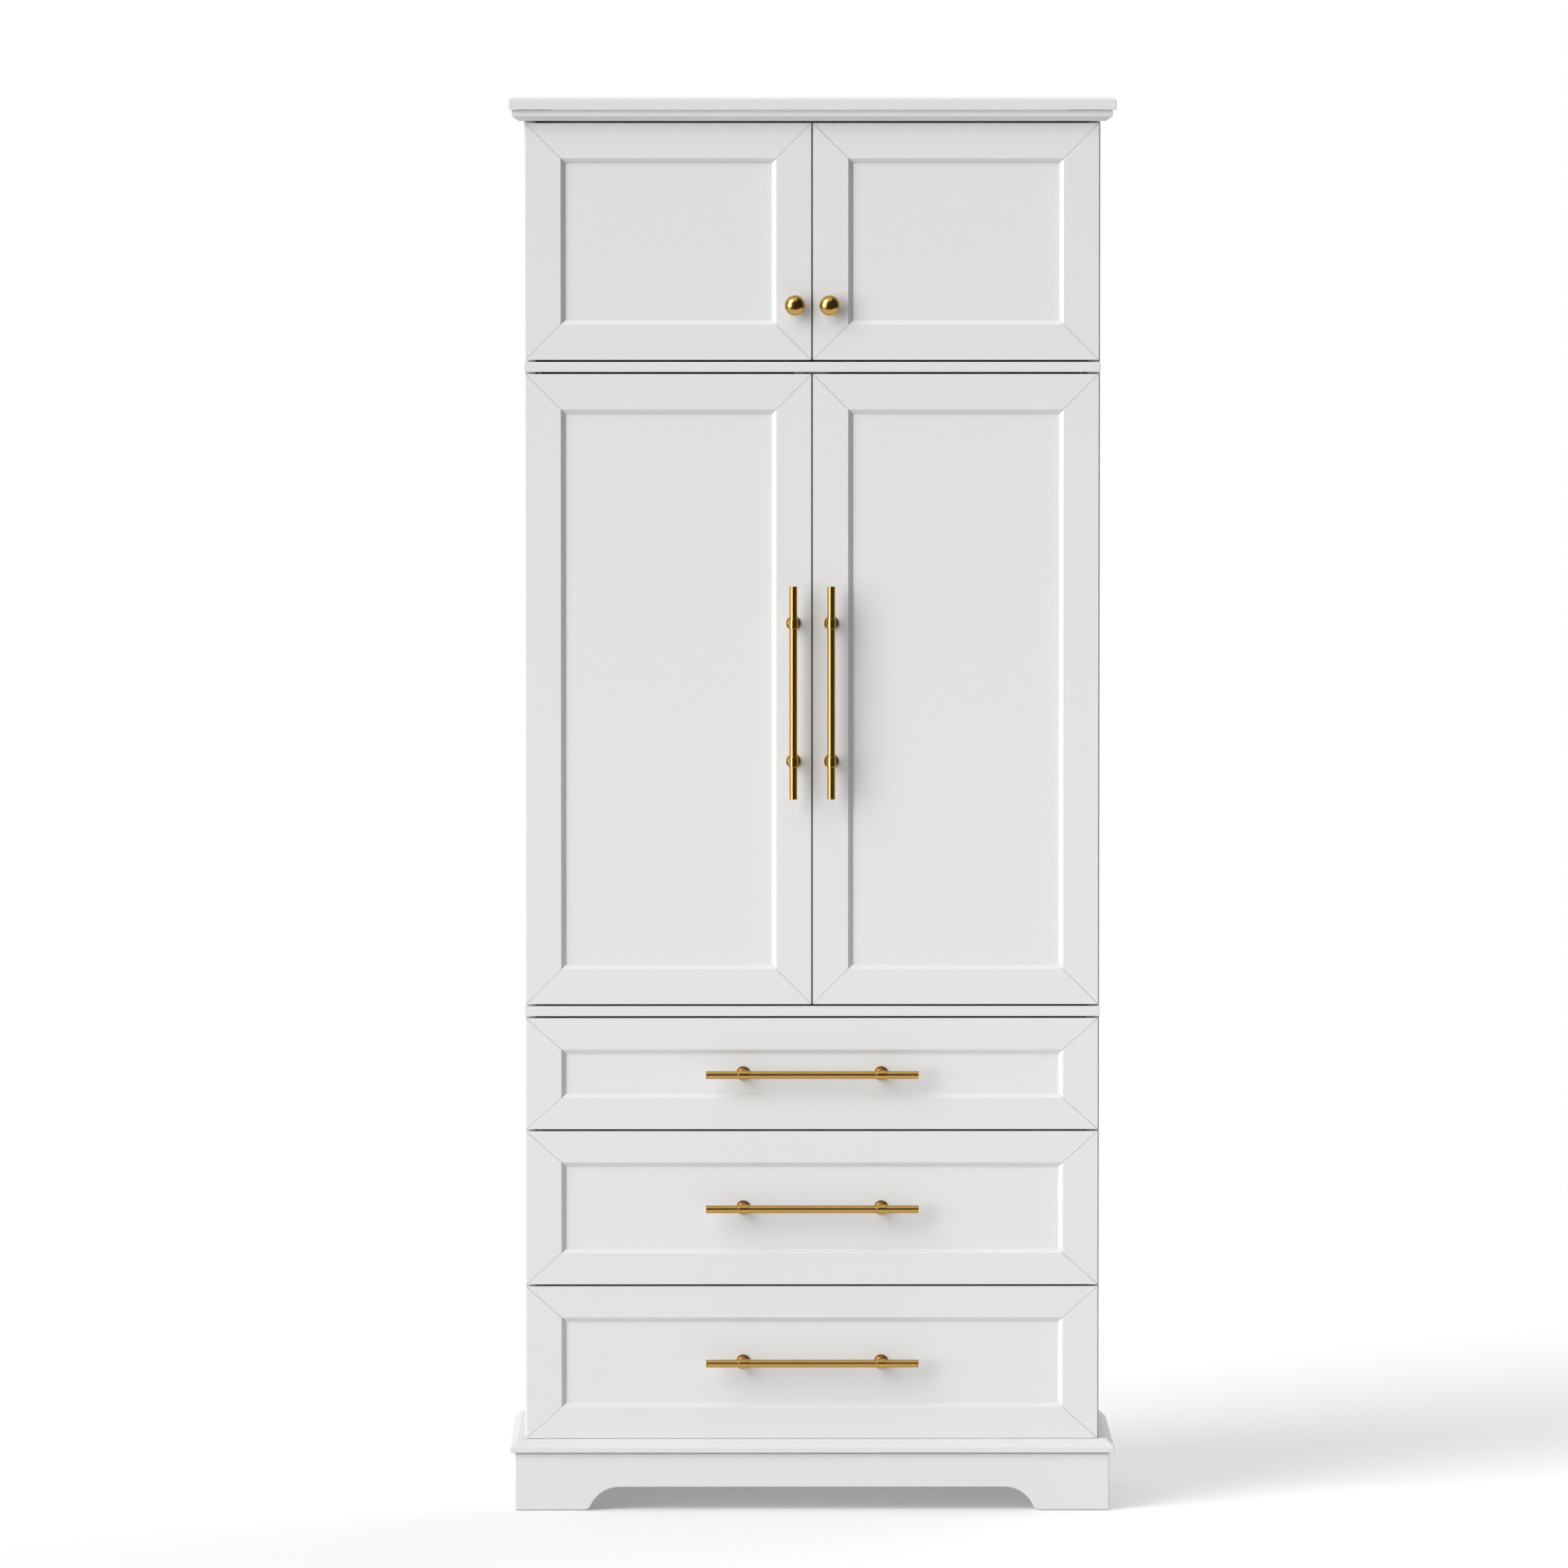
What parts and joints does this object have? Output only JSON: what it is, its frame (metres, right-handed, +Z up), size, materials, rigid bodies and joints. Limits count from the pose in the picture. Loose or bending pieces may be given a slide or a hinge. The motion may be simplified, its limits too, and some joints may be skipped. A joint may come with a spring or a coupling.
{
  "type": "armoire",
  "caption": "Tall white armoire with framed upper and tall doors, drawers below, brass bar pulls and knobs, a moulded cornice and a bracket-foot plinth.",
  "frame": {"origin": "on the floor, at the centre of the bounding box's footprint", "axes": "+Z up from the floor, the doors and drawers face -Y, X across the front and X = 0 the plane of symmetry"},
  "size_m": [0.842, 0.415, 1.966],
  "materials": {
    "white_paint": "satin white spray lacquer on fibreboard",
    "white_board": "white melamine-faced board",
    "back_board": "thin white-faced hardboard",
    "brass": "brushed warm brass",
    "steel": "nickel-plated or zinc-coated steel"
  },
  "bodies": {
    "carcass": {"plinth_front": "white_paint", "plinth_left": "white_paint", "plinth_right": "white_paint", "plinth_rear": "white_board", "base_board": "white_paint", "side_panel_left": "white_paint", "side_panel_right": "white_paint", "back_panel": "back_board", "top_panel": "white_board", "lower_shelf": "white_paint", "upper_shelf": "white_paint", "cornice_moulding": "white_paint", "top_board": "white_paint", "hanging_rod": "steel", "rod_socket_left": "steel", "rod_socket_right": "steel", "hinge_arm_upper_left_bottom": "steel", "hinge_arm_upper_left_top": "steel", "hinge_arm_upper_right_bottom": "steel", "hinge_arm_upper_right_top": "steel", "hinge_arm_tall_left_bottom": "steel", "hinge_arm_tall_left_top": "steel", "hinge_arm_tall_right_bottom": "steel", "hinge_arm_tall_right_top": "steel", "drawer_bottom_runner_left": "steel", "drawer_bottom_runner_right": "steel", "drawer_middle_runner_left": "steel", "drawer_middle_runner_right": "steel", "drawer_top_runner_left": "steel", "drawer_top_runner_right": "steel"},
    "upper_door_left": {"upper_door_left_frame": "white_paint", "upper_door_left_panel": "white_paint", "knob_left": "brass", "hinge_cup_upper_left_bottom": "steel", "hinge_cup_upper_left_top": "steel"},
    "upper_door_right": {"upper_door_right_frame": "white_paint", "upper_door_right_panel": "white_paint", "knob_right": "brass", "hinge_cup_upper_right_bottom": "steel", "hinge_cup_upper_right_top": "steel"},
    "tall_door_left": {"tall_door_left_frame": "white_paint", "tall_door_left_panel": "white_paint", "pull_left": "brass", "hinge_cup_tall_left_bottom": "steel", "hinge_cup_tall_left_top": "steel"},
    "tall_door_right": {"tall_door_right_frame": "white_paint", "tall_door_right_panel": "white_paint", "pull_right": "brass", "hinge_cup_tall_right_bottom": "steel", "hinge_cup_tall_right_top": "steel"},
    "drawer_bottom": {"drawer_bottom_front": "white_paint", "drawer_bottom_box": "white_board", "drawer_bottom_pull": "brass"},
    "drawer_middle": {"drawer_middle_front": "white_paint", "drawer_middle_box": "white_board", "drawer_middle_pull": "brass"},
    "drawer_top": {"drawer_top_front": "white_paint", "drawer_top_box": "white_board", "drawer_top_pull": "brass"}
  },
  "joints": [
    {"name": "upper_door_left_swing", "type": "hinge", "parent": "carcass", "child": "upper_door_left", "pos_m": [-0.3925, -0.1625, 1.6028], "axis": [0, 0, -1], "range_deg": [0, 110]},
    {"name": "upper_door_right_swing", "type": "hinge", "parent": "carcass", "child": "upper_door_right", "pos_m": [0.3925, -0.1625, 1.6028], "axis": [0, 0, 1], "range_deg": [0, 110]},
    {"name": "tall_door_left_swing", "type": "hinge", "parent": "carcass", "child": "tall_door_left", "pos_m": [-0.3925, -0.1625, 0.7067], "axis": [0, 0, -1], "range_deg": [0, 110]},
    {"name": "tall_door_right_swing", "type": "hinge", "parent": "carcass", "child": "tall_door_right", "pos_m": [0.3925, -0.1625, 0.7067], "axis": [0, 0, 1], "range_deg": [0, 110]},
    {"name": "drawer_bottom_slide", "type": "slide", "parent": "carcass", "child": "drawer_bottom", "axis": [0, -1, 0], "range_m": [0, 0.24]},
    {"name": "drawer_middle_slide", "type": "slide", "parent": "carcass", "child": "drawer_middle", "axis": [0, -1, 0], "range_m": [0, 0.24]},
    {"name": "drawer_top_slide", "type": "slide", "parent": "carcass", "child": "drawer_top", "axis": [0, -1, 0], "range_m": [0, 0.24]}
  ]
}
